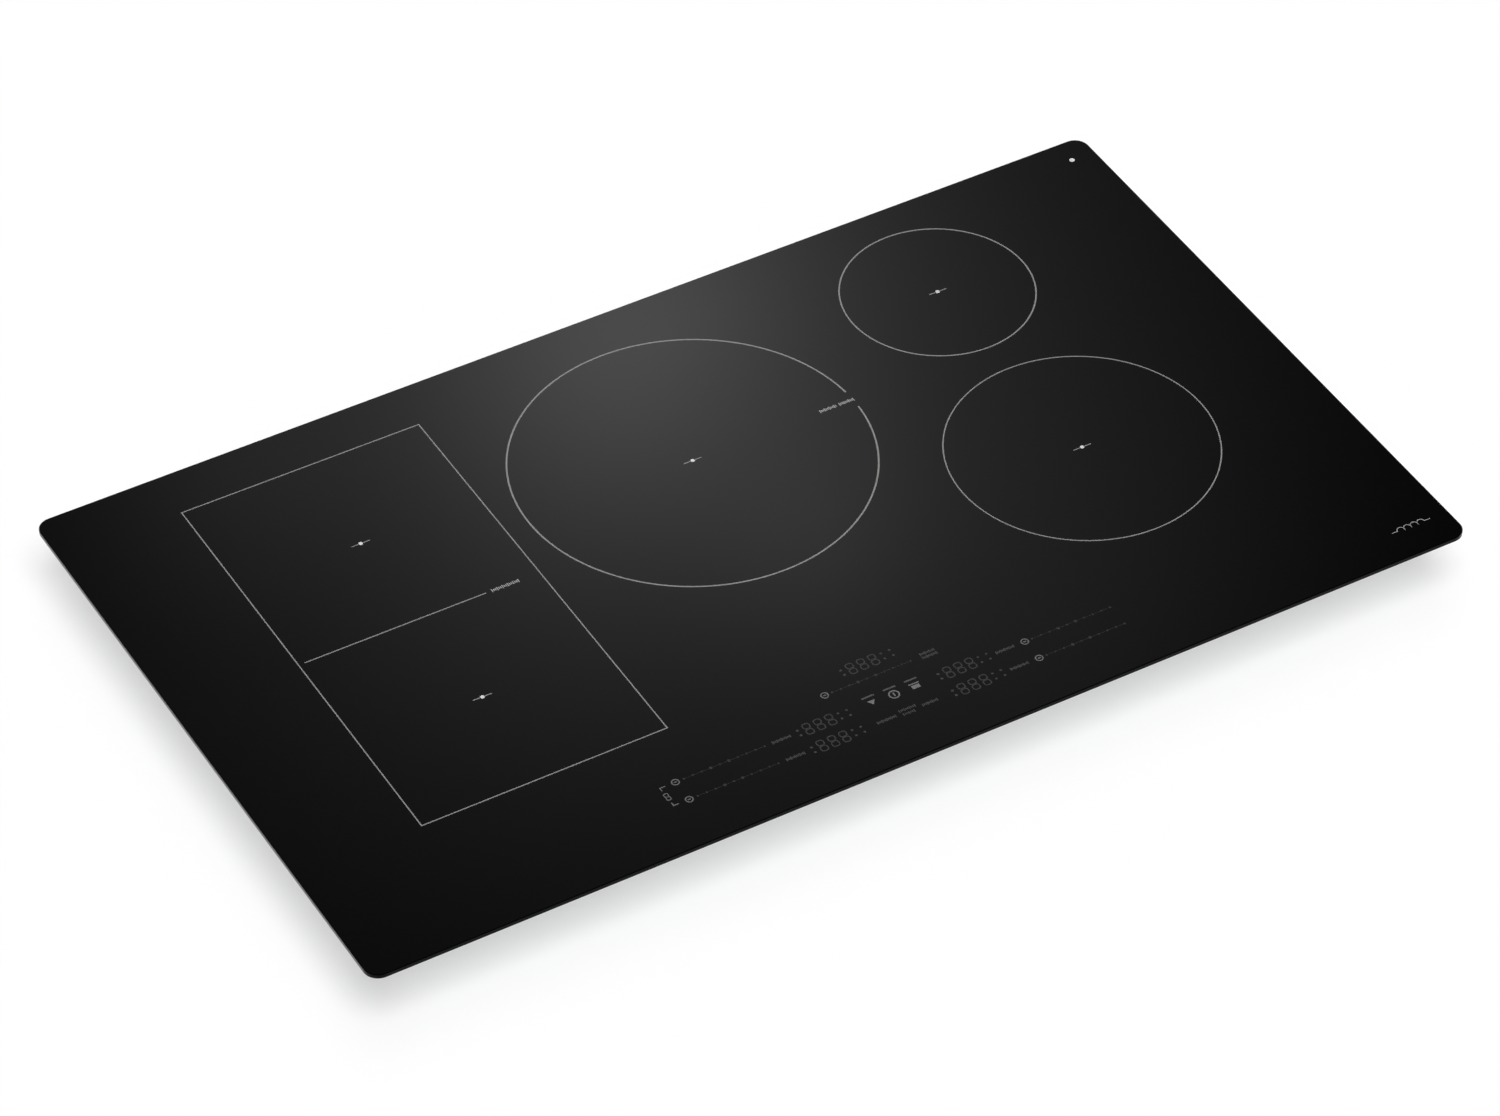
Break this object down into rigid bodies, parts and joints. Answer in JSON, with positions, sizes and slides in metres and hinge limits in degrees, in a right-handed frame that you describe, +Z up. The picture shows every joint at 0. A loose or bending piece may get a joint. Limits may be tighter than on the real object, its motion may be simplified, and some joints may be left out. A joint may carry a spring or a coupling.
{
  "type": "induction cooktop",
  "caption": "Drop-in induction cooktop: black glass with printed zones and touch controls over a shallow steel pan that holds coils, power boards and blowers.",
  "frame": {"origin": "under the middle of the glass, level with the lowest faces of the pressed feet", "axes": "+X to the user's right along the wide side, +Y to the back, +Z up out of the glass"},
  "size_m": [0.921, 0.543, 0.058],
  "materials": {
    "black_glass": "polished black glass-ceramic with thin grey prints",
    "silicone": "cured silicone bead",
    "foam": "closed-cell foam strip",
    "zinc_sheet": "galvanised steel sheet with a fine spangle",
    "rail_steel": "plain zinc-plated strip",
    "spring_steel": "bright spring steel strip",
    "screw_zinc": "bright zinc-plated screws",
    "plate_aluminium": "mill-finish aluminium sheet",
    "sink_aluminium": "extruded aluminium",
    "carrier_plastic": "glass-filled nylon",
    "litz_copper": "braided copper wire with clear varnish",
    "ferrite": "sintered ferrite",
    "mica": "mica sheet",
    "sensor_ceramic": "white ceramic cap",
    "lead_sleeve": "glass-fibre sleeve",
    "terminal_brass": "tinned brass",
    "tray_plastic": "flame-retardant plastic",
    "board_green": "solder mask on glass fibre",
    "device_black": "moulded epoxy",
    "capacitor_film": "boxed film capacitors",
    "choke_winding": "enamelled copper wire on toroids",
    "fan_plastic": "moulded plastic",
    "motor_steel": "laminated steel",
    "rotor_plastic": "moulded plastic",
    "holder_plastic": "moulded plastic",
    "display_red": "unlit digit display",
    "terminal_black": "moulded plastic with a fine texture",
    "block_white": "white terminal block",
    "supply_brown": "insulated supply wires"
  },
  "bodies": {
    "cooktop": {"glass_top": "black_glass", "glass_bond": "silicone", "rim_seal": "foam", "rail_front": "rail_steel", "rail_rear": "rail_steel", "rail_left": "rail_steel", "rail_right": "rail_steel", "rail_screws": "screw_zinc", "base_pan": "zinc_sheet", "clip_mounts": "spring_steel", "clip_screws": "screw_zinc", "coil_plate": "plate_aluminium", "standoffs": "rail_steel", "plate_screws": "screw_zinc", "carrier_flex_rear": "carrier_plastic", "carrier_flex_front": "carrier_plastic", "carrier_centre": "carrier_plastic", "carrier_rear_right": "carrier_plastic", "carrier_front_right": "carrier_plastic", "winding_flex_rear": "litz_copper", "winding_flex_front": "litz_copper", "winding_centre": "litz_copper", "winding_rear_right": "litz_copper", "winding_front_right": "litz_copper", "ferrite_bars": "ferrite", "mica_sheets": "mica", "pan_sensors": "sensor_ceramic", "carrier_springs": "spring_steel", "coil_leads": "lead_sleeve", "coil_terminals": "terminal_brass", "board_tray_left": "tray_plastic", "board_tray_right": "tray_plastic", "power_board_left": "board_green", "power_board_right": "board_green", "heat_sink_left": "sink_aluminium", "heat_sink_right": "sink_aluminium", "power_transistors": "device_black", "film_capacitors": "capacitor_film", "chokes": "choke_winding", "board_screws": "screw_zinc", "filter_board": "board_green", "fan_housing_left": "fan_plastic", "fan_housing_right": "fan_plastic", "fan_motor_left": "motor_steel", "fan_motor_right": "motor_steel", "touch_holder": "holder_plastic", "touch_board": "board_green", "digit_displays": "display_red", "touch_springs": "spring_steel", "terminal_box": "terminal_black", "terminal_block": "block_white", "terminal_screws": "terminal_brass", "supply_leads": "supply_brown"},
    "clip_front_left": {"clip_front_left": "spring_steel"},
    "clip_rear_left": {"clip_rear_left": "spring_steel"},
    "clip_front_right": {"clip_front_right": "spring_steel"},
    "clip_rear_right": {"clip_rear_right": "spring_steel"},
    "fan_rotor_left": {"fan_rotor_left": "rotor_plastic"},
    "fan_rotor_right": {"fan_rotor_right": "rotor_plastic"},
    "terminal_lid": {"terminal_lid": "terminal_black"}
  },
  "joints": [
    {"name": "clip_front_left_flex", "type": "hinge", "parent": "cooktop", "child": "clip_front_left", "pos_m": [-0.4287, -0.13, 0.0225], "axis": [0, 1, 0], "range_deg": [0, 20], "stiffness_Nm_per_rad": 0.6},
    {"name": "clip_rear_left_flex", "type": "hinge", "parent": "cooktop", "child": "clip_rear_left", "pos_m": [-0.4287, 0.13, 0.0225], "axis": [0, 1, 0], "range_deg": [0, 20], "stiffness_Nm_per_rad": 0.6},
    {"name": "clip_front_right_flex", "type": "hinge", "parent": "cooktop", "child": "clip_front_right", "pos_m": [0.4287, -0.13, 0.0225], "axis": [0, -1, 0], "range_deg": [0, 20], "stiffness_Nm_per_rad": 0.6},
    {"name": "clip_rear_right_flex", "type": "hinge", "parent": "cooktop", "child": "clip_rear_right", "pos_m": [0.4287, 0.13, 0.0225], "axis": [0, -1, 0], "range_deg": [0, 20], "stiffness_Nm_per_rad": 0.6},
    {"name": "fan_left_spin", "type": "hinge", "parent": "cooktop", "child": "fan_rotor_left", "pos_m": [-0.275, 0.165, 0.015], "axis": [0, 0, 1], "continuous": true},
    {"name": "fan_right_spin", "type": "hinge", "parent": "cooktop", "child": "fan_rotor_right", "pos_m": [0.275, 0.165, 0.015], "axis": [0, 0, 1], "continuous": true},
    {"name": "terminal_lid_hinge", "type": "hinge", "parent": "cooktop", "child": "terminal_lid", "pos_m": [0, 0.155, 0.0034], "axis": [-1, 0, 0], "range_deg": [0, 95]}
  ]
}
